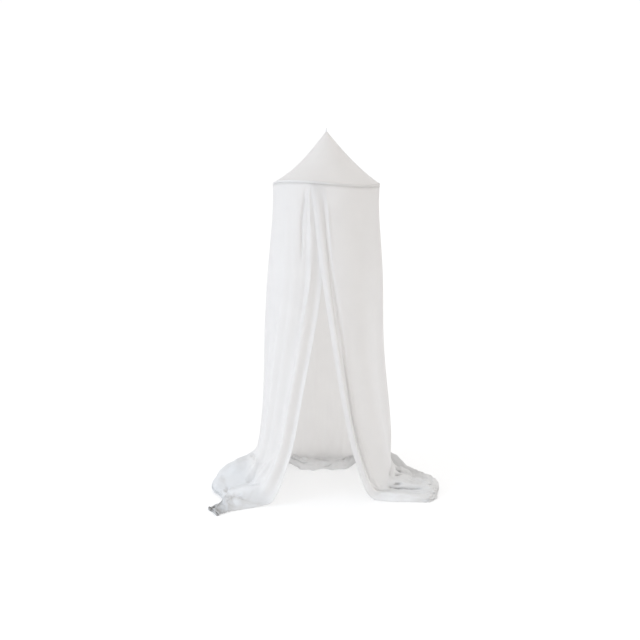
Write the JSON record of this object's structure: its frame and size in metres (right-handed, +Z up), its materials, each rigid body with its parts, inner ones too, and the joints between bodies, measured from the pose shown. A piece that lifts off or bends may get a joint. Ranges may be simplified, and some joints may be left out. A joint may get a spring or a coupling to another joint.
{
  "type": "mosquito net canopy with hoop",
  "caption": "Hanging bed canopy: a cloth cone over a round hoop with a long curtain that parts at the front and pools on the floor.",
  "frame": {"origin": "the point in the hanging loop where the ceiling hook bears, above the tip of the cone", "axes": "+Z up, -Y towards the side where the curtain opens, +X to the right as seen from there"},
  "size_m": [1.3831, 1.1466, 2.1095],
  "materials": {
    "cotton": "thin matt plain-woven cotton, slightly see-through to light",
    "tape": "matt woven cotton tape",
    "hoop": "plain white rod"
  },
  "bodies": {
    "root": {"roof": "cotton", "curtain": "cotton", "hanging_loop": "tape", "hoop": "hoop"}
  },
  "joints": []
}
